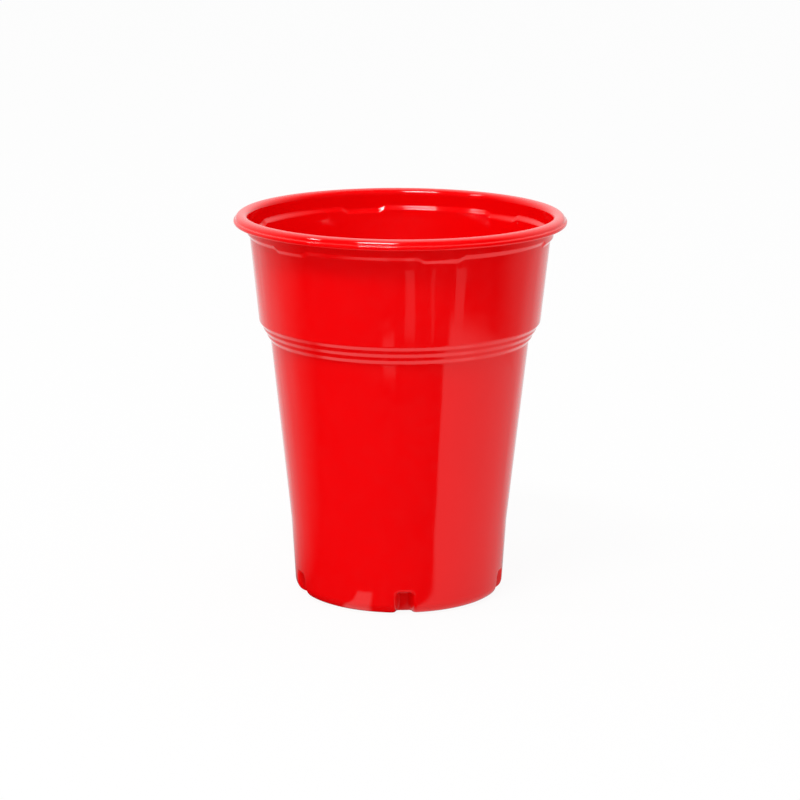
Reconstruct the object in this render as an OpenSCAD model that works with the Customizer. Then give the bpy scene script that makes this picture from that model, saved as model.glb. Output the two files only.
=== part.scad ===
// Thin-walled drinking cup, formed from one plastic sheet.
// The cup stands on the XY plane with its axis on Z and its front towards -Y.

/* [Cup] */
// Height from the table to the top of the rim
cup_h = 81.8; // [70:0.1:100]
// Thickness of the formed sheet
wall = 0.4; // [0.3:0.05:0.6]

/* [Rim] */
// Diameter over the hem of the rolled rim
rim_d = 70.3; // [69:0.1:74]
// Height of the rolled rim, from its top to the underside of its hem
rim_h = 2.05; // [1.8:0.05:2.6]
// Height of the hem along the lower edge of the rim
hem_h = 0.95; // [0.6:0.05:1.1]
// How far the hem stands out past the roll above it
hem_out = 0.3; // [0.1:0.05:0.6]
// How far the hem turns in under the rim
hem_turn = 1.2; // [0.6:0.1:1.8]
// Radius of the round edges of the hem
hem_round = 0.4; // [0.1:0.02:0.45]

/* [Stacking ledge] */
// Outside diameter of the neck between the rim and the ledge
neck_d = 64.8; // [63:0.1:66]
// Depth of the ledge's upper edge below the top of the rim
ledge_depth = 3.85; // [3.4:0.05:5]
// Height of the sloping ledge
ledge_h = 0.85; // [0.6:0.05:1.4]
// How far the ledge steps in from the neck
ledge_in = 0.64; // [0.3:0.02:0.8]
// Radius of the bends above and below the ledge
ledge_round = 0.6; // [0.2:0.05:0.8]
// Radius of the same bends on the inside of the sheet
ledge_inner_round = 1.6; // [0.6:0.1:2]
// Number of lugs, where the ledge sits lower
lug_count = 6; // [3:1:8]
// Width of a lug at the middle of its height
lug_w = 8.7; // [6:0.1:11]
// How far the ledge drops at a lug
lug_drop = 0.65; // [0.4:0.05:0.9]
// Length of the ramp at each end of a lug
lug_ramp = 1.3; // [0.4:0.05:1.6]
// Turn of the first lug from the front of the cup
lug_turn = 12; // [0:0.5:59.5]

/* [Wall] */
// Diameter of the upper wall at its lower end, the shoulder
shoulder_d = 59.7; // [58:0.1:61.5]
// Height of the shoulder above the table
shoulder_h = 59; // [50:0.1:64]
// Diameter where the lower wall meets the steeper foot band
band_d = 46.4; // [45:0.1:49]
// Height of the foot band above the table
band_h = 15.7; // [9:0.1:24]
// Radius of the bends at the grip steps
bend_round = 0.3; // [0.1:0.05:0.6]
// Least radius of the other bends on the inside of the sheet
inner_round = 0.5; // [0.1:0.05:0.6]

/* [Grip steps] */
// Number of steps under the shoulder
step_count = 3; // [2:1:5]
// Height of the sloping face of a step
step_slope_h = 0.95; // [0.7:0.05:1.4]
// Height of the upright face between two slopes
step_riser_h = 0.57; // [0.4:0.01:1]
// How far each slope goes in
step_in = 0.76; // [0.5:0.02:1]

/* [Foot] */
// Outside diameter of the foot, where its side would meet the table
foot_d = 44.4; // [42:0.1:46]
// Radius of the outer edge of the foot
foot_round = 2.5; // [1:0.1:3]
// Radius of the inner edges of the foot
foot_inner_round = 0.6; // [0.3:0.1:0.8]
// Height of the underside of the base panel above the table
base_rise = 3.2; // [2:0.1:4]
// How far the inner side of the foot leans in over its height
foot_lean = 0.5; // [0.2:0.1:1]

/* [Foot pockets] */
// Number of pockets round the foot
pocket_count = 5; // [3:1:8]
// Width of a pocket's mouth at the table
pocket_w = 4.5; // [4:0.05:7]
// Width of a pocket's mouth at its top
pocket_top_w = 3.9; // [3.4:0.05:7]
// Width of a pocket's back wall
pocket_back_w = 2.7; // [2:0.05:4]
// Height of a pocket's mouth above the table
pocket_h = 5.2; // [4:0.05:7]
// Depth of a pocket from the foot's outside to its back wall
pocket_depth = 3.2; // [1.8:0.1:3.6]
// How far a pocket's roof falls from its mouth to its back
pocket_fall = 1; // [0.4:0.1:1.6]
// How far a pocket's back wall leans out over its height
pocket_lean = 0.4; // [0.1:0.1:0.8]
// Radius of the upper corners of a pocket's mouth
pocket_round = 1.1; // [0.4:0.1:1.6]
// Radius of the corners between a pocket's sides and its back wall
pocket_fillet = 0.8; // [0.2:0.1:1]
// Width of the foot left behind each pocket
pocket_land = 1.5; // [1.3:0.1:2.5]

/* [Hidden] */
$fn = 180;

// Largest angle between two chords of a round edge
chord_angle = 12;
// Length by which a cutter runs past what it cuts
overrun = 1;
// Draft by which a lug stays inside the neck that it runs into
lug_draft = 0.04;
// How many times its own height a lug's slope runs on, down inside the wall
lug_sink = 3;
// Corners whose round takes less than this from a side stay sharp
least_reach = 0.001;
cup_red = [0.86, 0.03, 0.05];

rim_r = rim_d / 2;
roll_r = rim_r - hem_out;
neck_r = neck_d / 2;
mouth_r = neck_r - wall;
shoulder_r = shoulder_d / 2;
band_r = band_d / 2;
foot_r = foot_d / 2;
foot_inner_r = foot_r - pocket_depth - pocket_land;
pocket_back_r = foot_r - pocket_depth;

rim_z = cup_h - rim_h;
hem_z = rim_z + hem_h;
// The roll is a half round that stops at the crease above the hem
crest_r = (roll_r - mouth_r) / 2;
crest_mid = [mouth_r + crest_r, cup_h - crest_r];
function crease_angle(radius) = asin(max(-1, min(1, (hem_z - crest_mid[1]) / radius)));
ledge_z = cup_h - ledge_depth;
ledge_foot_z = ledge_z - ledge_h;
// The neck and the rim meet halfway between the ledge and the hem
join_z = (ledge_z + rim_z) / 2;

upper_wall_r = neck_r - ledge_in;
upper_taper = (upper_wall_r - shoulder_r) / (ledge_foot_z - shoulder_h);
step_pitch_h = step_slope_h + step_riser_h;
step_pitch_in = step_in + step_riser_h * upper_taper;
step_foot_r = shoulder_r - (step_count - 1) * step_pitch_in - step_in;
step_foot_z = shoulder_h - (step_count - 1) * step_pitch_h - step_slope_h;

// Middle of the band between the high ledge and a lug's low ledge
lug_mid_z = ledge_z - (ledge_h + lug_drop) / 2;

// Paths are lists of [radius, height, round], where round is the corner's own radius.
// A fourth number is the least round that the corner has on the inside of the sheet.
function spot(corner) = [corner[0], corner[1]];
function heading(from, to) = (to - from) / norm(to - from);
function left_of(way) = [-way[1], way[0]];
function turned(v, a) = [v[0] * cos(a) - v[1] * sin(a), v[0] * sin(a) + v[1] * cos(a)];
function is_end(path, i) = i <= 0 || i >= len(path) - 1;
function stretch(path, i) = norm(spot(path[i + 1]) - spot(path[i]));
function way_in(path, i) = heading(spot(path[i - 1]), spot(path[i]));
function way_out(path, i) = heading(spot(path[i]), spot(path[i + 1]));
function bend_side(path, i) = sign(cross(way_in(path, i), way_out(path, i)));
function bend_angle(path, i) = acos(max(-1, min(1, way_in(path, i) * way_out(path, i))));

// Length that a round corner takes from each of its two sides, limited by their lengths
function wanted_reach(path, i) =
    is_end(path, i) ? 0 : path[i][2] * tan(bend_angle(path, i) / 2);
function room(length, own, other) = own + other > length ? length / (own + other) : 1;
function reach(path, i) =
    let (own = wanted_reach(path, i))
    own * min(
        room(stretch(path, i - 1), own, wanted_reach(path, i - 1)),
        room(stretch(path, i), own, wanted_reach(path, i + 1)));

// Points of one corner: a single point, or the chords of its round
function corner_points(path, i) =
    is_end(path, i) || wanted_reach(path, i) < least_reach ? [spot(path[i])] :
    let (
        length = reach(path, i),
        angle = bend_angle(path, i),
        side = bend_side(path, i),
        start = spot(path[i]) - way_in(path, i) * length,
        centre = start + left_of(way_in(path, i)) * side * length / tan(angle / 2),
        chords = max(2, ceil(angle / chord_angle)))
    [for (k = [0 : chords]) centre + turned(start - centre, side * angle * k / chords)];

function rounded(path) = [for (i = [0 : len(path) - 1]) each corner_points(path, i)];

// Arc through a list of angles, as a run of sharp corners
function sweep(from, to) =
    let (chords = ceil(abs(to - from) / chord_angle))
    [for (k = [1 : chords]) from + (to - from) * k / chords];
function arc(middle, radius, angles) =
    [for (angle = angles) [each middle + turned([radius, 0], angle), 0]];

// The path moved to its left by a distance, with each round kept concentric or a little softer
function shifted_corner(path, i, d) =
    i == 0 ? spot(path[0]) + left_of(way_out(path, 0)) * d :
    i == len(path) - 1 ? spot(path[i]) + left_of(way_in(path, i)) * d :
    let (a = left_of(way_in(path, i)), b = left_of(way_out(path, i)))
    spot(path[i]) + (a + b) * d / (1 + a * b);
function shifted(path, d) = [
    for (i = [0 : len(path) - 1])
    let (
        round = is_end(path, i) ? 0 : path[i][2] - d * bend_side(path, i),
        own_least = is_undef(path[i][3]) ? inner_round : path[i][3],
        least = d > 0 && path[i][2] > 0 ? own_least : 0)
    [each shifted_corner(path, i, d), max(least, round)]
];

// Outer face of the sheet, from the middle of the base to the top of the neck
step_corners = [
    for (k = [0 : step_count - 1])
    let (r = step_foot_r + k * step_pitch_in, z = step_foot_z + k * step_pitch_h)
    each [[r, z, bend_round], [r + step_in, z + step_slope_h, bend_round]]
];
skin = concat(
    [
        [0, base_rise, 0],
        [foot_inner_r - foot_lean, base_rise, foot_inner_round],
        [foot_inner_r, 0, foot_inner_round],
        [foot_r, 0, foot_round],
        [band_r, band_h, 0],
    ],
    step_corners,
    [
        [upper_wall_r, ledge_foot_z, ledge_round, ledge_inner_round],
        [neck_r, ledge_z, ledge_round, ledge_inner_round],
        [neck_r, join_z, 0],
    ]);

// Low ledge of a lug, from inside the wall up into the neck
lug_skin = [
    [neck_r - lug_draft - lug_sink * ledge_in, ledge_z - lug_drop - lug_sink * ledge_h, 0],
    [neck_r - lug_draft, ledge_z - lug_drop, ledge_round, ledge_inner_round],
    [neck_r - lug_draft, ledge_z + lug_drop, 0],
];

// Rolled rim: over the roll and round the hem, then back through the inside of the roll
roll_back_r = crest_r - wall;
roll_back_start = crease_angle(roll_back_r);
rim_path = concat(
    [[mouth_r, join_z, 0]],
    arc(crest_mid, crest_r, concat([180], sweep(180, 90), sweep(90, crease_angle(crest_r)))),
    [
        [rim_r, hem_z, hem_round],
        [rim_r, rim_z, hem_round],
        [roll_r - hem_turn, rim_z, 0],
        [roll_r - hem_turn, rim_z + wall, 0],
        [roll_r - wall, rim_z + wall, hem_round],
    ],
    arc(crest_mid, roll_back_r, concat([roll_back_start], sweep(roll_back_start, 180))),
    [[neck_r, join_z, 0]]);

// Solid inside the face that lies at a depth behind the outer face of the sheet
module form(depth) {
    face = rounded(shifted(skin, depth));
    top_z = depth > 0 ? join_z + overrun : join_z;
    lid = [[neck_r - depth, top_z], [0, top_z]];
    difference() {
        union() {
            rotate_extrude() polygon(concat(face, depth > 0 ? lid : [lid[1]]));
            intersection() {
                lug_ring(depth);
                lug_spans(depth);
            }
        }
        for (k = [0 : pocket_count - 1]) rotate(360 * k / pocket_count - 90) pocket(depth);
    }
}

// Ring with the low ledge all the way round
module lug_ring(depth) {
    face = rounded(shifted(lug_skin, depth));
    core_r = face[0][0] - overrun;
    rotate_extrude()
        polygon(concat(face, [[core_r, face[len(face) - 1][1]], [core_r, face[0][1]]]));
}

// Wedges that keep the low ledge to the width of the lugs, with a ramp at each end
module lug_spans(depth) {
    slant = lug_ramp / lug_drop;
    lift = depth * sqrt(1 + 1 / (slant * slant));
    half_h = (ledge_h + lug_drop) / 2;
    low = lug_w / 2 - (half_h + lift) * slant;
    high = lug_w / 2 + (half_h - lift) * slant;
    end_h = half_h + lug_drop + overrun;
    outline = [
        [-low, -end_h], [low, -end_h], [low, -half_h], [high, half_h], [high, end_h],
        [-high, end_h], [-high, half_h], [-low, -half_h],
    ];
    for (k = [0 : lug_count - 1])
        rotate(360 * k / lug_count + lug_turn - 90)
            translate([0, 0, lug_mid_z])
                rotate([90, 0, 90]) linear_extrude(neck_r + overrun) polygon(outline);
}

// Pocket in the foot, facing +X, with its walls moved out by a depth
module pocket(depth) {
    far = foot_r + pocket_land;
    front = [
        [pocket_w / 2 + depth, -overrun, 0],
        [pocket_top_w / 2 + depth, pocket_h + depth, pocket_round + depth],
        [-pocket_top_w / 2 - depth, pocket_h + depth, pocket_round + depth],
        [-pocket_w / 2 - depth, -overrun, 0],
    ];
    roof_slope = pocket_fall / pocket_depth;
    roof_z = pocket_h + depth * sqrt(1 + roof_slope * roof_slope);
    roof = [
        [foot_inner_r, -overrun],
        [far, -overrun],
        [far, roof_z + (far - foot_r) * roof_slope],
        [foot_inner_r, roof_z + (foot_inner_r - foot_r) * roof_slope],
    ];
    // Plan of the pocket, from its back wall outwards, in the frame that leans with that wall
    flare = (pocket_w - pocket_back_w) / 2 / pocket_depth;
    grown = depth * sqrt(1 + flare * flare);
    back_half = pocket_back_w / 2 + grown - depth * flare;
    far_half = pocket_back_w / 2 + grown + (far - pocket_back_r) * flare;
    plan = [
        [far - pocket_back_r, far_half, 0],
        [-depth, back_half, pocket_fillet + depth],
        [-depth, -back_half, pocket_fillet + depth],
        [far - pocket_back_r, -far_half, 0],
    ];
    intersection() {
        rotate([90, 0, 90]) linear_extrude(far) polygon(rounded(front));
        rotate([90, 0, 0]) translate([0, 0, -far]) linear_extrude(2 * far) polygon(roof);
        translate([pocket_back_r, 0, 0])
            rotate([0, atan(pocket_lean / pocket_h), 0])
                translate([0, 0, -overrun]) linear_extrude(2 * far) polygon(rounded(plan));
    }
}

module cup() {
    color(cup_red) union() {
        difference() {
            form(0);
            form(wall);
        }
        rotate_extrude() polygon(rounded(rim_path));
    }
}

cup();
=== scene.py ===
import math

import bpy
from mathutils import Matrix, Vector


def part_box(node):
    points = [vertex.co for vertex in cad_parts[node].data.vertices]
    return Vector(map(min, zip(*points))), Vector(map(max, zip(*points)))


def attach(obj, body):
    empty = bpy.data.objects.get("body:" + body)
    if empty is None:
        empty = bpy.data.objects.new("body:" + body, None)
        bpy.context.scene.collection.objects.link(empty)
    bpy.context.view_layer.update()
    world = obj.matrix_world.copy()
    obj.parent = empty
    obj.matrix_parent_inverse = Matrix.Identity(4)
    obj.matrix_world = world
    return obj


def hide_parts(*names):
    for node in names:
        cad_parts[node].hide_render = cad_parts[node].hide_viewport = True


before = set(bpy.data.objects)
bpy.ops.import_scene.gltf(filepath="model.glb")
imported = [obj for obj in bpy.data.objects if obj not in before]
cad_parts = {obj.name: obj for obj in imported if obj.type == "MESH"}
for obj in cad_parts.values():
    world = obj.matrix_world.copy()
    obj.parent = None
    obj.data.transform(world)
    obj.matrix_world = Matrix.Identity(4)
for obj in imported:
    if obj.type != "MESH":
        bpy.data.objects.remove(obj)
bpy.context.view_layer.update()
cupLow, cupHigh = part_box("cup")
mm = 0.001  # the scene is in metres, the sizes below are in millimetres
cupHeight = cupHigh.z / mm
rimRadius = (cupHigh.y - cupLow.y) / 2 / mm
frontAngle = -90  # degrees, the front of the cup faces -Y
print("frame loaded: cup", round(cupHeight, 2), "mm high,", round(2 * rimRadius, 2), "mm over its rim")


# Section of the formed sheet
# A corner is (radius, height, bend radius, chords of the bend, cuts of the run after it)

def linePoint(start, end, share):
    return start + (end - start) * share


def turned(arm, angle):
    return Vector((
        arm.x * math.cos(angle) - arm.y * math.sin(angle),
        arm.x * math.sin(angle) + arm.y * math.cos(angle),
    ))


def leftOf(way):
    return Vector((-way.y, way.x))


def spot(corner):
    return Vector(corner[:2])


def wayBetween(start, end):
    return (spot(end) - spot(start)).normalized()


def bendAngle(corners, i):
    wayIn = wayBetween(corners[i - 1], corners[i])
    wayOut = wayBetween(corners[i], corners[i + 1])
    return math.atan2(wayIn.x * wayOut.y - wayIn.y * wayOut.x, wayIn.dot(wayOut))


def isEnd(corners, i):
    return i in (0, len(corners) - 1)


def bendPoints(corners, i):
    bend, chords = corners[i][2:4]
    if isEnd(corners, i) or bend == 0:
        return [spot(corners[i])]
    angle = bendAngle(corners, i)
    wayIn = wayBetween(corners[i - 1], corners[i])
    start = spot(corners[i]) - wayIn * bend * math.tan(abs(angle) / 2)
    centre = start + leftOf(wayIn) * math.copysign(bend, angle)
    return [centre + turned(start - centre, angle * k / chords) for k in range(chords + 1)]


def roundedPath(corners):
    bends = [bendPoints(corners, i) for i in range(len(corners))]
    points = []
    for i, bend in enumerate(bends):
        points += bend
        if i + 1 < len(bends):
            cuts = corners[i][4]
            points += [linePoint(bend[-1], bends[i + 1][0], k / cuts) for k in range(1, cuts)]
    return points


# Run of sharp corners along an arc, its angles in degrees
def arcCorners(middle, radius, start, end, chords):
    corners = []
    for k in range(chords + 1):
        angle = math.radians(start + (end - start) * k / chords)
        across = middle.x + radius * math.cos(angle)
        up = middle.y + radius * math.sin(angle)
        corners.append((across, up, 0, 1, 1))
    return corners


# The same corners on the sheet's inner face, which lies to the left of the path
def innerCorners(corners, depth, leastBend):
    moved = []
    for i, (radius, height, bend, chords, cuts) in enumerate(corners):
        before = leftOf(wayBetween(corners[max(i - 1, 0)], corners[max(i, 1)]))
        last = len(corners) - 1
        after = leftOf(wayBetween(corners[min(i, last - 1)], corners[min(i + 1, last)]))
        place = Vector((radius, height)) + (before + after) * depth / (1 + before.dot(after))
        if bend and not isEnd(corners, i):
            bend = max(leastBend, bend - math.copysign(depth, bendAngle(corners, i)))
        moved.append((place.x, place.y, bend, chords, cuts))
    return moved


def smooth(share):
    share = min(1, max(0, share))
    return share * share * (3 - 2 * share)


# Arc distance from the nearest of several like features, in degrees, with its sign
def angleFrom(angle, first, count):
    pitch = 360 / count
    return (angle - first + pitch / 2) % pitch - pitch / 2


sheet = {
    "thickness": 0.4,
    "bend": 0.8,  # at the grip steps
    "bendChords": 5,
    "innerBend": 0.5,  # least bend on the inside
    "shoulderRadius": 29.85,
    "shoulderHeight": 59,
    "bandRadius": 23.2,  # the wall is steeper below this height
    "bandHeight": 15.7,
    "bandCuts": 2,  # parts of a plain run of the wall
    "runCuts": 5,
}
rim = {
    "height": 2.05,  # its top to the underside of the hem
    "hemHeight": 0.95,
    "hemOut": 0.3,  # the hem stands out past the roll above it
    "hemTurn": 1.2,
    "hemBend": 0.4,
    "hemChords": 6,
    "creaseBend": 0.12,  # crease between the roll and the hem
    "edgeBend": 0.15,
    "edgeChords": 3,
    "crestChords": 18,
    "backChords": 5,  # inside the roll
}
ledge = {
    "neckRadius": 32.4,
    "depth": 3.85,  # below the top of the rim
    "height": 0.85,
    "stepIn": 0.64,
    "bend": 0.6,
    "bendChords": 4,
    "innerBend": 0.9,
    "innerChords": 5,
    "lugCount": 6,
    "lugWidth": 8.7,
    "lugDrop": 0.65,
    "lugRamp": 1.9,
    "lugTurn": 12,  # degrees from the front
}
steps = {"count": 3, "slopeHeight": 0.95, "riserHeight": 0.57, "stepIn": 0.76}

rollRadius = rimRadius - rim["hemOut"]
rimFoot = cupHeight - rim["height"]
hemTop = rimFoot + rim["hemHeight"]
mouthRadius = ledge["neckRadius"] - sheet["thickness"]
rollBend = (rollRadius - mouthRadius) / 2  # the roll is a half round
rollMiddle = Vector((mouthRadius + rollBend, cupHeight - rollBend))
ledgeTop = cupHeight - ledge["depth"]
ledgeFoot = ledgeTop - ledge["height"]
upperRadius = ledge["neckRadius"] - ledge["stepIn"]
upperTaper = (upperRadius - sheet["shoulderRadius"]) / (ledgeFoot - sheet["shoulderHeight"])
stepPitch = steps["slopeHeight"] + steps["riserHeight"]
stepPitchIn = steps["stepIn"] + steps["riserHeight"] * upperTaper


def lugDrop(angle):
    offset = math.radians(abs(angleFrom(angle, frontAngle + ledge["lugTurn"], ledge["lugCount"])))
    beyond = offset * ledge["neckRadius"] - ledge["lugWidth"] / 2
    return ledge["lugDrop"] * smooth(0.5 - beyond / ledge["lugRamp"])


# Wall from the top of the foot to the neck, with the ledge as low as it is at this angle
def wallCorners(angle, footEnd):
    drop = lugDrop(angle)
    bend = (sheet["bend"], sheet["bendChords"])
    ledgeBend = (ledge["bend"], ledge["bendChords"])
    corners = [
        (*footEnd, 0, 1, sheet["bandCuts"]),
        (sheet["bandRadius"], sheet["bandHeight"], 0, 1, sheet["runCuts"]),
    ]
    for k in reversed(range(steps["count"])):
        radius = sheet["shoulderRadius"] - k * stepPitchIn
        height = sheet["shoulderHeight"] - k * stepPitch
        corners.append((radius - steps["stepIn"], height - steps["slopeHeight"], *bend, 1))
        corners.append((radius, height, *bend, 1 if k else sheet["runCuts"]))
    corners.append((upperRadius - upperTaper * drop, ledgeFoot - drop, *ledgeBend, 1))
    corners.append((ledge["neckRadius"], ledgeTop - drop, *ledgeBend, 1))
    corners.append((ledge["neckRadius"], rimFoot, 0, 1, 1))
    return corners


# Angle on the roll, or on its inside, where it meets the top of the hem
def creaseAngle(radius):
    return math.degrees(math.asin((hemTop - rollMiddle.y) / radius))


# Rolled rim, from the neck up inside the roll, round its hem and back over the crest to the mouth
def rimCorners():
    thickness = sheet["thickness"]
    hemEnd = rollRadius - rim["hemTurn"]
    back = rollBend - thickness
    hem = (rim["hemBend"], rim["hemChords"])
    edge = (rim["edgeBend"], rim["edgeChords"])
    crestStart = creaseAngle(rollBend)
    crease, *crest = arcCorners(rollMiddle, rollBend, crestStart, 180, rim["crestChords"])
    return [
        (ledge["neckRadius"], rimFoot, 0, 1, 1),
        *arcCorners(rollMiddle, back, 180, creaseAngle(back), rim["backChords"]),
        (rollRadius - thickness, rimFoot + thickness, rim["hemBend"], rim["edgeChords"], 1),
        (hemEnd, rimFoot + thickness, *edge, 1),
        (hemEnd, rimFoot, *edge, 1),
        (rimRadius, rimFoot, *hem, 1),
        (rimRadius, hemTop, *hem, 1),
        (*crease[:2], rim["creaseBend"], rim["edgeChords"], 1),
        *crest,
        (mouthRadius, rimFoot, 0, 1, 1),
    ]


foot = {
    "radius": 22.2,
    "bend": 2.5,
    "bendChords": 9,
    "innerBend": 0.6,
    "innerChords": 4,
    "leastBend": 0.3,
    "baseRise": 3.2,  # the base panel's underside stands this far above the table
    "lean": 0.5,
    "flatStart": 18.3,  # where the inner bend has run out on the ring's flat
    "panelCuts": 4,
    "ringCuts": 3,
    "sideCuts": 2,
    "top": 6.6,  # pockets and their lips end below this height
}
pocket = {
    "count": 5,
    "width": 4.5,
    "topWidth": 3.9,
    "backWidth": 2.7,
    "height": 5.2,
    "depth": 3.2,
    "fall": 1,  # the roof is lower at the back
    "lean": 0.4,
    "cornerBend": 1.1,
    "land": 1.5,  # foot left behind the pocket
    "lip": 0.58,
    "lowLip": 1,  # at the table, where the mouth's edge is softer
    "lowLipHeight": 2.4,
    "leastLip": 0.1,
    "fillet": 0.8,
    "footBend": 0.7,
}
footTaper = (sheet["bandRadius"] - foot["radius"]) / sheet["bandHeight"]
pocketBack = foot["radius"] - pocket["depth"]
footInner = pocketBack - pocket["land"]
backTaper = pocket["lean"] / pocket["height"]
sideSlope = (pocket["width"] - pocket["backWidth"]) / 2 / pocket["depth"]
roofSlope = pocket["fall"] / pocket["depth"]


# Height that a bend at the table reaches up to
def bendTop(taper, bend, depth):
    return depth + (bend - depth) * (1 - math.sin(math.atan(taper)))


# Radius, at a height, of a tapered side that starts with such a bend
def sideRadius(start, taper, bend, height, depth):
    line = start + taper * height - depth * math.hypot(1, taper)
    if height >= bendTop(taper, bend, depth):
        return line
    own = bend - depth
    sweep = math.pi / 2 - math.atan(taper)
    middle = line + taper * (depth - height) - own * math.tan(sweep / 2)
    return middle + math.sqrt(own ** 2 - (own + depth - height) ** 2)


def footSide(height, depth):
    return sideRadius(foot["radius"], footTaper, foot["bend"], height, depth)


# How far a pocket has gone in at a place that lies this far inside the outline of its mouth
def lipCurve(inside, slope, full, lip, fillet):
    fallAngle = math.atan2(1, slope)
    lipReach = lip * math.tan(fallAngle / 2)
    filletReach = fillet * math.tan(fallAngle / 2)
    backStart = slope * full
    if inside <= -lipReach:
        return 0
    if inside < lipReach * math.cos(fallAngle):
        return lip - math.sqrt(max(0, lip ** 2 - (inside + lipReach) ** 2))
    if inside < backStart - filletReach * math.cos(fallAngle):
        return inside / slope
    if inside < backStart + filletReach:
        return full - fillet + math.sqrt(max(0, fillet ** 2 - (backStart + filletReach - inside) ** 2))
    return full


# Depth of the pocket behind the foot's own face, at a distance from its middle and a height
def pocketDepth(aside, height, depth):
    widening = (pocket["width"] - pocket["topWidth"]) * (1 - height / pocket["height"])
    fromSide = (pocket["topWidth"] + widening) / 2 + depth - abs(aside)
    fromRoof = pocket["height"] + depth - height
    bend = pocket["cornerBend"] + depth
    shortSide = max(0, bend - fromSide)
    shortRoof = max(0, bend - fromRoof)
    short = math.hypot(shortSide, shortRoof)
    roofShare = (shortRoof / short) ** 2 if short else 0
    slope = sideSlope + (roofSlope - sideSlope) * roofShare
    full = footSide(height, depth) - sideRadius(pocketBack, backTaper, pocket["footBend"], height, depth)
    softer = smooth(1 - height / pocket["lowLipHeight"])
    lip = max(pocket["leastLip"], linePoint(pocket["lip"], pocket["lowLip"], softer) - depth)
    return lipCurve(bend - short, slope, full, lip, pocket["fillet"] + depth)


# Rows up the foot: round its edge, a few on its side, close ones where a pocket's roof lies
def footHeights(depth, fine):
    top = bendTop(footTaper, foot["bend"], depth)
    turn = math.pi / 2 - math.atan(footTaper)
    chords = foot["bendChords"]
    edge = [depth + (foot["bend"] - depth) * (1 - math.cos(turn * k / chords)) for k in range(chords)]
    roofStart = pocket["height"] - pocket["cornerBend"] - pocket["lip"]
    roofEnd = pocket["height"] + pocket["lip"] + depth
    cuts = foot["sideCuts"]
    side = [top + (roofStart - top) * k / cuts for k in range(cuts)]
    roofRows = math.ceil((roofEnd - roofStart) / fine)
    roof = [roofStart + (roofEnd - roofStart) * k / roofRows for k in range(roofRows + 1)]
    return edge + side + roof + [foot["top"]]


# Base panel and foot ring, from the axis out and up to the foot's top
def footRows(angle, depth, fine):
    aside = foot["radius"] * math.sin(math.radians(angleFrom(angle, frontAngle, pocket["count"])))
    bend = (foot["innerBend"], foot["innerChords"])
    base = [
        (0, foot["baseRise"], 0, 1, foot["panelCuts"]),
        (footInner - foot["lean"], foot["baseRise"], *bend, 1),
        (footInner, 0, *bend, 1),
        (foot["flatStart"], 0, 0, 1, 1),
    ]
    rows = roundedPath(innerCorners(base, depth, foot["leastBend"]) if depth else base)
    side = []
    for height in footHeights(depth, fine):
        gone = pocketDepth(aside, height, depth)
        side.append(Vector((footSide(height, depth) - gone, height)))
    cuts = foot["ringCuts"]
    ring = [linePoint(rows[-1], side[0], k / cuts) for k in range(1, cuts)]
    return rows + ring + side


mesh = {
    "plainStep": 2.4,  # degrees between two columns of the plain wall
    "pocketStep": 0.3,
    "pocketReach": (2.0, 7.4),  # degrees from a pocket's middle where its sides and lips lie
    "rampStep": 0.5,
    "leastStep": 0.16,
    "outerRow": 0.16,  # millimetres between two rows at a pocket's roof
    "innerRow": 0.36,
}


def columnAngles():
    angles = [k * mesh["plainStep"] for k in range(round(360 / mesh["plainStep"]))]
    nearest, farthest = mesh["pocketReach"]
    for k in range(pocket["count"]):
        middle = frontAngle + 360 * k / pocket["count"]
        for j in range(round((farthest - nearest) / mesh["pocketStep"])):
            offset = nearest + j * mesh["pocketStep"]
            angles += [middle - offset, middle + offset]
    rampMiddle = math.degrees(ledge["lugWidth"] / 2 / ledge["neckRadius"])
    rampReach = math.degrees(ledge["lugRamp"] / 2 / ledge["neckRadius"])
    rampColumns = math.ceil(rampReach / mesh["rampStep"])
    for k in range(ledge["lugCount"]):
        middle = frontAngle + ledge["lugTurn"] + 360 * k / ledge["lugCount"]
        for j in range(-rampColumns, rampColumns + 1):
            offset = rampMiddle + j * mesh["rampStep"]
            angles += [middle - offset, middle + offset]
    angles = sorted(angle % 360 for angle in angles)
    kept = angles[:1]
    for angle in angles[1:]:
        if angle - kept[-1] > mesh["leastStep"]:
            kept.append(angle)
    return kept


# Whole section at an angle: outer face, rim, then the inner face back down to the floor
def sectionAt(angle):
    depth = sheet["thickness"]
    outerFoot = footRows(angle, 0, mesh["outerRow"])
    innerFoot = footRows(angle, depth, mesh["innerRow"])
    wall = wallCorners(angle, (outerFoot[-1].x, outerFoot[-1].y))
    innerWall = innerCorners(wall, depth, sheet["innerBend"])
    for k in (-3, -2):  # the two bends of the ledge
        innerWall[k] = (*innerWall[k][:2], ledge["innerBend"], ledge["innerChords"], 1)
    innerPath = roundedPath(innerWall)
    rimPath = roundedPath(rimCorners())
    return (
        outerFoot[:-1]
        + roundedPath(wall)
        + rimPath[1:-1]
        + innerPath[:0:-1]
        + innerFoot[::-1]
    )


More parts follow.
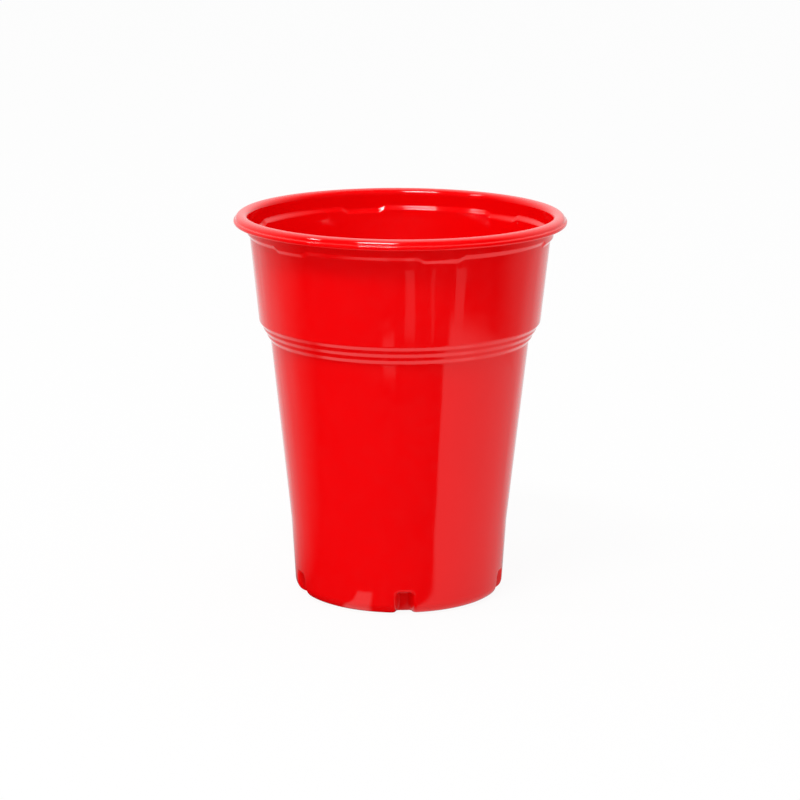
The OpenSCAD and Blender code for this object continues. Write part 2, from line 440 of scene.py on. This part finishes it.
def buildCup():
    angles = columnAngles()
    sections = [sectionAt(angle) for angle in angles]
    rowCount = len(sections[0])
    columnCount = len(angles)
    points = [(0, 0, sections[0][0].y * mm)]
    for row in range(1, rowCount - 1):
        for angle, section in zip(angles, sections):
            radius = section[row].x * mm
            turn = math.radians(angle)
            points.append((radius * math.cos(turn), radius * math.sin(turn), section[row].y * mm))
    points.append((0, 0, sections[0][-1].y * mm))
    last = len(points) - 1
    faces = []
    for k in range(columnCount):
        following = (k + 1) % columnCount
        faces.append((0, 1 + following, 1 + k))
        for row in range(rowCount - 3):
            here = 1 + row * columnCount
            above = here + columnCount
            faces.append((here + k, here + following, above + following, above + k))
        top = last - columnCount
        faces.append((last, top + k, top + following))
    data = bpy.data.meshes.new("formedCup")
    data.from_pydata(points, [], faces)
    data.validate()
    data.shade_smooth()
    cup = bpy.data.objects.new("formedCup", data)
    bpy.context.scene.collection.objects.link(cup)
    normals = cup.modifiers.new("evenNormals", "WEIGHTED_NORMAL")  # long faces keep their own normals
    normals.keep_sharp = False
    print("cup built:", columnCount, "columns,", rowCount, "rows,", len(faces), "faces")
    return cup


# Finishes

def linear(hexCode):
    shares = [int(hexCode[k:k + 2], 16) / 255 for k in (1, 3, 5)]
    return [s / 12.92 if s <= 0.04045 else ((s + 0.055) / 1.055) ** 2.4 for s in shares] + [1]


def addNode(tree, kind, settings=None, inputs=None):
    node = tree.nodes.new(kind)
    for name, value in (settings or {}).items():
        setattr(node, name, value)
    for name, value in (inputs or {}).items():
        if isinstance(value, bpy.types.NodeSocket):
            tree.links.new(value, node.inputs[name])
        else:
            node.inputs[name].default_value = value
    return node


def newMaterial(name):
    material = bpy.data.materials.new(name)
    material.use_nodes = True
    material.node_tree.nodes.clear()
    return material, material.node_tree


polystyrene = {
    "red": "#F80206",
    "deepRed": "#F20105",
    "ior": 1.58,
    "roughness": (0.05, 0.1),
    "waveWidth": 8,  # mm across one soft wave of the stretched sheet
    "waveStretch": 0.4,  # waves run long in the direction of the draw
    "waveHeight": 0.16,  # mm
    "waveEnd": (75, 78),  # mm above the table, the waves fade out towards the rim
    "cloudWidth": 14,  # mm across a patch of deeper red
    "hazeWidth": 2.5,  # mm across a patch where the gloss is duller
    "hazeRange": (0.3, 0.7),
}


# High-impact polystyrene sheet, drawn into a mould:
# opaque full red, a clear gloss and faint waves along the draw
def thermoformedPolystyrene():
    look = polystyrene
    material, tree = newMaterial("thermoformedPolystyrene")
    place = addNode(tree, "ShaderNodeTexCoord").outputs["Object"]
    stretch = (1, 1, look["waveStretch"])
    drawn = addNode(tree, "ShaderNodeVectorMath", {"operation": "MULTIPLY"}, {0: place, 1: stretch})
    waves = addNode(tree, "ShaderNodeTexNoise", None, {
        "Vector": drawn.outputs[0],
        "Scale": 1 / (look["waveWidth"] * mm),
        "Detail": 1.0,
        "Roughness": 0.4,
    })
    clouds = addNode(tree, "ShaderNodeTexNoise", None, {
        "Vector": place,
        "Scale": 1 / (look["cloudWidth"] * mm),
        "Detail": 2.0,
    })
    haze = addNode(tree, "ShaderNodeTexNoise", None, {
        "Vector": place,
        "Scale": 1 / (look["hazeWidth"] * mm),
        "Detail": 3.0,
    })
    colour = addNode(tree, "ShaderNodeMix", {"data_type": "RGBA"}, {
        0: clouds.outputs["Fac"],
        6: linear(look["red"]),
        7: linear(look["deepRed"]),
    })
    gloss = addNode(tree, "ShaderNodeMapRange", None, {
        "Value": haze.outputs["Fac"],
        "From Min": look["hazeRange"][0],
        "From Max": look["hazeRange"][1],
        "To Min": look["roughness"][0],
        "To Max": look["roughness"][1],
    })
    height = addNode(tree, "ShaderNodeSeparateXYZ", None, {"Vector": place}).outputs["Z"]
    onWall = addNode(tree, "ShaderNodeMapRange", {"interpolation_type": "SMOOTHSTEP"}, {
        "Value": height,
        "From Min": look["waveEnd"][0] * mm,
        "From Max": look["waveEnd"][1] * mm,
        "To Min": 1.0,
        "To Max": 0.0,
    })
    swell = addNode(tree, "ShaderNodeMath", {"operation": "MULTIPLY"}, {
        0: waves.outputs["Fac"],
        1: onWall.outputs[0],
    })
    bump = addNode(tree, "ShaderNodeBump", None, {
        "Height": swell.outputs[0],
        "Strength": 1.0,
        "Distance": look["waveHeight"] * mm,
    })
    plastic = addNode(tree, "ShaderNodeBsdfPrincipled", None, {
        "Base Color": colour.outputs[2],
        "Roughness": gloss.outputs[0],
        "IOR": look["ior"],
        "Normal": bump.outputs[0],
    })
    addNode(tree, "ShaderNodeOutputMaterial", None, {"Surface": plastic.outputs[0]})
    return material


cup = buildCup()
cup.data.materials.append(thermoformedPolystyrene())
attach(cup, "root")
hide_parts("cup")
print("cup finished in thermoformed polystyrene")


# Studio

studio = {
    "floorRadius": 3000,
    "floorSides": 96,
    "floorColour": "#E0E0E0",
    "floorWhite": 0.93,  # share of plain white in what the camera sees of the floor
    # Light from the floor that no shadow takes away, straight up and then low along the floor
    "floorGlow": (1, 0.45),
    "glowBright": (1.35, 0.82),
    "glowFacing": (0.2, 0.7),  # 0 is straight up, 1 is along the floor
    "glowStart": (22, 32),  # mm from the cup's axis, the floor keeps its shade close to the foot
    "glowLeast": 0.3,
    "horizon": 0.4,  # soft light of the room, low and from straight above
    "zenith": 1.4,
    "dim": 0.01,  # what the gloss shows of the room in front of the cup
    "roomRise": (0, 0.6),  # height over which the room behind the cup gets brighter
    "roomHigh": 1.85,
    "roomStart": -0.3,  # cosine from straight behind the cup, where the room starts to be bright
    "roomPower": 1.5,
    "patchGlow": 0.5,  # painted reflection: a patch of glow on the floor to the right, that only the gloss sees
    "patchEdge": (-16, -11),  # mm, its slanting front edge
    "patchSlant": 1.2,
    "patchCurl": 5,  # mm that the edge comes forward close to the foot
    "curlReach": (24, 34),  # mm from the cup's axis, as are the next lengths
    "patchReach": (165, 195),
    "steepBright": 0.75,  # painted reflection: a ring of floor round the foot that glows for the gloss only, where a face mirrors it from above
    "steep": (0.3, 0.5),  # 0 is straight down on the floor
    "steepStart": (25.5, 27.3),
    "steepEnd": (42, 56),
}
paintedStrips = [  # painted reflections: pale strips of glow across the floor that only the gloss sees, in millimetres from the cup's axis
    {"angle": 8, "width": 20, "start": 165, "end": 230, "edge": 4, "bright": 0.25},
    {"angle": 25, "width": 6, "start": 165, "end": 230, "edge": 4, "bright": 0.2},
    {"angle": 46, "width": 34, "start": 155, "end": 230, "edge": 4, "bright": 0.3},
    {"angle": -9, "width": 22, "start": 140, "end": 166, "edge": 4, "bright": 0.35},
    {"angle": -25, "width": 6.4, "start": 21, "end": 33, "edge": 1.5, "bright": 0.7},
]
view = {
    "distance": 600,
    "aim": 41.2,  # height of the point in the middle of the picture
    "aimAside": 0.1,  # mm to the right of the cup's axis
    "elevation": 13.2,
    "aside": -3.3,  # degrees from the front, towards -X
    "roll": 0.25,
    "lens": 126.2,
    "sensor": 36,
}
lampDistance = 1  # metres from the middle of the view
lamps = {
    "broadLamp": {"angle": -23, "elevation": 60, "size": (0.33, 0.14), "power": 4.3},
    "smallLamp": {"angle": -78, "elevation": 48, "size": (0.11, 0.11), "power": 0.9},
}


def aroundView(angle):
    return math.radians(frontAngle + view["aside"] + angle)


def lookAt(thing, target):
    thing.rotation_euler = (target - thing.location).to_track_quat("-Z", "Y").to_euler()


def placeAround(angle, elevation, distance, aim):
    turn = aroundView(angle)
    rise = math.radians(elevation)
    out = distance * math.cos(rise)
    return Vector((out * math.cos(turn), out * math.sin(turn), aim + distance * math.sin(rise)))


def fade(tree, value, ends, levels):
    return addNode(tree, "ShaderNodeMapRange", {"interpolation_type": "SMOOTHSTEP"}, {
        "Value": value,
        "From Min": ends[0],
        "From Max": ends[1],
        "To Min": levels[0],
        "To Max": levels[1],
    }).outputs[0]


# Distance along a direction across the floor, given as an angle to the right of the camera
def along(tree, place, angle):
    turn = aroundView(angle)
    reach = addNode(tree, "ShaderNodeVectorMath", {"operation": "DOT_PRODUCT"}, {
        0: place,
        1: (math.cos(turn), math.sin(turn), 0),
    })
    return reach.outputs["Value"]


def metres(ends):
    return [end * mm for end in ends]


def joined(tree, operation, first, second):
    return addNode(tree, "ShaderNodeMath", {"operation": operation}, {0: first, 1: second}).outputs[0]


# What the gloss shows of the room, by direction: dim in front of the cup and bright behind it
def mirroredRoom(tree, direction):
    level = addNode(tree, "ShaderNodeVectorMath", {"operation": "MULTIPLY"}, {
        0: direction,
        1: (1, 1, 0),
    })
    unit = addNode(tree, "ShaderNodeVectorMath", {"operation": "NORMALIZE"}, {0: level.outputs[0]})
    share = addNode(tree, "ShaderNodeMapRange", None, {
        "Value": along(tree, unit.outputs[0], 180),
        "From Min": studio["roomStart"],
        "From Max": 1.0,
    })
    bright = joined(tree, "POWER", share.outputs[0], studio["roomPower"])
    return joined(tree, "MAXIMUM", bright, studio["dim"])


# Painted reflection: one pale strip of glow on the floor, seen only by the gloss
def mirroredStrip(tree, place, strip):
    aside = along(tree, place, strip["angle"] + 90)
    across = addNode(tree, "ShaderNodeMath", {"operation": "ABSOLUTE"}, {0: aside}).outputs[0]
    ahead = along(tree, place, strip["angle"])
    level = strip["bright"]
    half = strip["edge"] / 2
    for value, side, levels in (
        (across, strip["width"] / 2, (1, 0)),
        (ahead, strip["start"], (0, 1)),
        (ahead, strip["end"], (1, 0)),
    ):
        shown = fade(tree, value, metres((side - half, side + half)), levels)
        level = joined(tree, "MULTIPLY", shown, level)
    return level


# The same for the floor: painted reflections, glow on a patch to the right, on pale strips and on a ring
# round the foot, that only the gloss sees
def mirroredFloor(tree, place, distance, facing):
    names = ("patchEdge", "patchReach", "curlReach", "steepStart", "steepEnd")
    edge, reach, curlReach, start, end = [metres(studio[name]) for name in names]
    back = along(tree, place, 180)
    slanted = addNode(tree, "ShaderNodeMath", {"operation": "MULTIPLY_ADD"}, {
        0: along(tree, place, 90),
        1: studio["patchSlant"],
        2: back,
    })
    curl = fade(tree, distance, curlReach, (studio["patchCurl"] * mm, 0))
    curled = joined(tree, "ADD", slanted.outputs[0], curl)
    # Painted reflection: a pale patch of glow to the right, seen only by the gloss
    paintedGlossPatch = fade(tree, curled, edge, (0, studio["patchGlow"]))
    paintedGlossPatch = joined(tree, "MULTIPLY", paintedGlossPatch, fade(tree, distance, reach, (1, 0)))
    # Painted reflection: the ring of glow round the foot, seen only by the gloss
    above = fade(tree, facing, studio["steep"], (studio["steepBright"], 0))
    above = joined(tree, "MULTIPLY", above, fade(tree, distance, start, (0, 1)))
    above = joined(tree, "MULTIPLY", above, fade(tree, distance, end, (1, 0)))
    level = mirroredRoom(tree, place)
    for part in (paintedGlossPatch, above, *[mirroredStrip(tree, place, strip) for strip in paintedStrips]):
        level = joined(tree, "MAXIMUM", level, part)
    return level


# Pale matt floor: plain white to the camera with a little shadow, and partly dim in the cup's gloss
def paleFloor():
    material, tree = newMaterial("paleFloor")
    light = addNode(tree, "ShaderNodeLightPath").outputs
    facing = addNode(tree, "ShaderNodeLayerWeight").outputs["Facing"]
    place = addNode(tree, "ShaderNodeTexCoord").outputs["Object"]
    length = addNode(tree, "ShaderNodeVectorMath", {"operation": "LENGTH"}, {0: place})
    distance = length.outputs["Value"]
    matt = addNode(tree, "ShaderNodeBsdfDiffuse", None, {"Color": linear(studio["floorColour"])})
    strength = addNode(tree, "ShaderNodeMix", {"data_type": "FLOAT"}, {
        0: light["Is Camera Ray"],
        2: fade(tree, facing, studio["glowFacing"], studio["glowBright"]),
        3: 1.0,
    })
    white = addNode(tree, "ShaderNodeEmission", None, {"Strength": strength.outputs[0]})
    # Painted reflections: this glow is shown only to glossy rays
    mirrored = mirroredFloor(tree, place, distance, facing)
    glow = addNode(tree, "ShaderNodeEmission", None, {"Strength": mirrored})
    lit = fade(tree, facing, studio["glowFacing"], studio["floorGlow"])
    away = fade(tree, distance, metres(studio["glowStart"]), (studio["glowLeast"], 1))
    lit = joined(tree, "MULTIPLY", lit, away)
    share = joined(
        tree, "MAXIMUM",
        joined(tree, "MULTIPLY", light["Is Camera Ray"], studio["floorWhite"]),
        joined(tree, "MULTIPLY", light["Is Diffuse Ray"], lit),
    )
    seen = addNode(tree, "ShaderNodeMixShader", None, {
        0: share,
        1: matt.outputs[0],
        2: white.outputs[0],
    })
    both = addNode(tree, "ShaderNodeMixShader", None, {
        0: light["Is Glossy Ray"],
        1: seen.outputs[0],
        2: glow.outputs[0],
    })
    addNode(tree, "ShaderNodeOutputMaterial", None, {"Surface": both.outputs[0]})
    return material


def buildFloor():
    radius = studio["floorRadius"] * mm
    bpy.ops.mesh.primitive_circle_add(vertices=studio["floorSides"], radius=radius, fill_type="NGON")
    floor = bpy.context.object
    floor.name = "studioFloor"
    floor.data.materials.append(paleFloor())


def buildRoom():
    world = bpy.data.worlds.new("paleRoom")
    world.use_nodes = True
    tree = world.node_tree
    tree.nodes.clear()
    light = addNode(tree, "ShaderNodeLightPath").outputs
    direction = addNode(tree, "ShaderNodeTexCoord").outputs["Generated"]
    height = addNode(tree, "ShaderNodeSeparateXYZ", None, {"Vector": direction}).outputs["Z"]
    higher = fade(tree, height, studio["roomRise"], (1, studio["roomHigh"]))
    mirrored = joined(tree, "MULTIPLY", mirroredRoom(tree, direction), higher)
    soft = addNode(tree, "ShaderNodeMix", {"data_type": "FLOAT"}, {
        0: light["Is Glossy Ray"],
        2: fade(tree, height, (0, 1), (studio["horizon"], studio["zenith"])),
        3: mirrored,
    })
    level = addNode(tree, "ShaderNodeMix", {"data_type": "FLOAT"}, {
        0: light["Is Camera Ray"],
        2: soft.outputs[0],
        3: 1.0,
    })
    background = addNode(tree, "ShaderNodeBackground", None, {"Strength": level.outputs[0]})
    addNode(tree, "ShaderNodeOutputWorld", None, {"Surface": background.outputs[0]})
    bpy.context.scene.world = world


def buildLamps():
    target = Vector((0, 0, view["aim"] * mm))
    for name, lamp in lamps.items():
        data = bpy.data.lights.new(name, "AREA")
        data.shape = "RECTANGLE"
        data.size, data.size_y = lamp["size"]
        data.energy = lamp["power"]
        thing = bpy.data.objects.new(name, data)
        thing.location = placeAround(lamp["angle"], lamp["elevation"], lampDistance, target.z)
        lookAt(thing, target)
        bpy.context.scene.collection.objects.link(thing)


def buildCamera():
    data = bpy.data.cameras.new("photoCamera")
    data.lens = view["lens"]
    data.sensor_width = view["sensor"]
    camera = bpy.data.objects.new("photoCamera", data)
    right = aroundView(90)
    shift = Vector((math.cos(right), math.sin(right), 0)) * view["aimAside"] * mm
    camera.location = placeAround(0, view["elevation"], view["distance"] * mm, view["aim"] * mm) + shift
    lookAt(camera, Vector((0, 0, view["aim"] * mm)) + shift)
    camera.rotation_euler.rotate_axis("Z", math.radians(view["roll"]))
    bpy.context.scene.collection.objects.link(camera)
    bpy.context.scene.camera = camera


buildFloor()
buildRoom()
buildLamps()
buildCamera()
bpy.context.scene.view_settings.view_transform = "Standard"
print("studio ready")
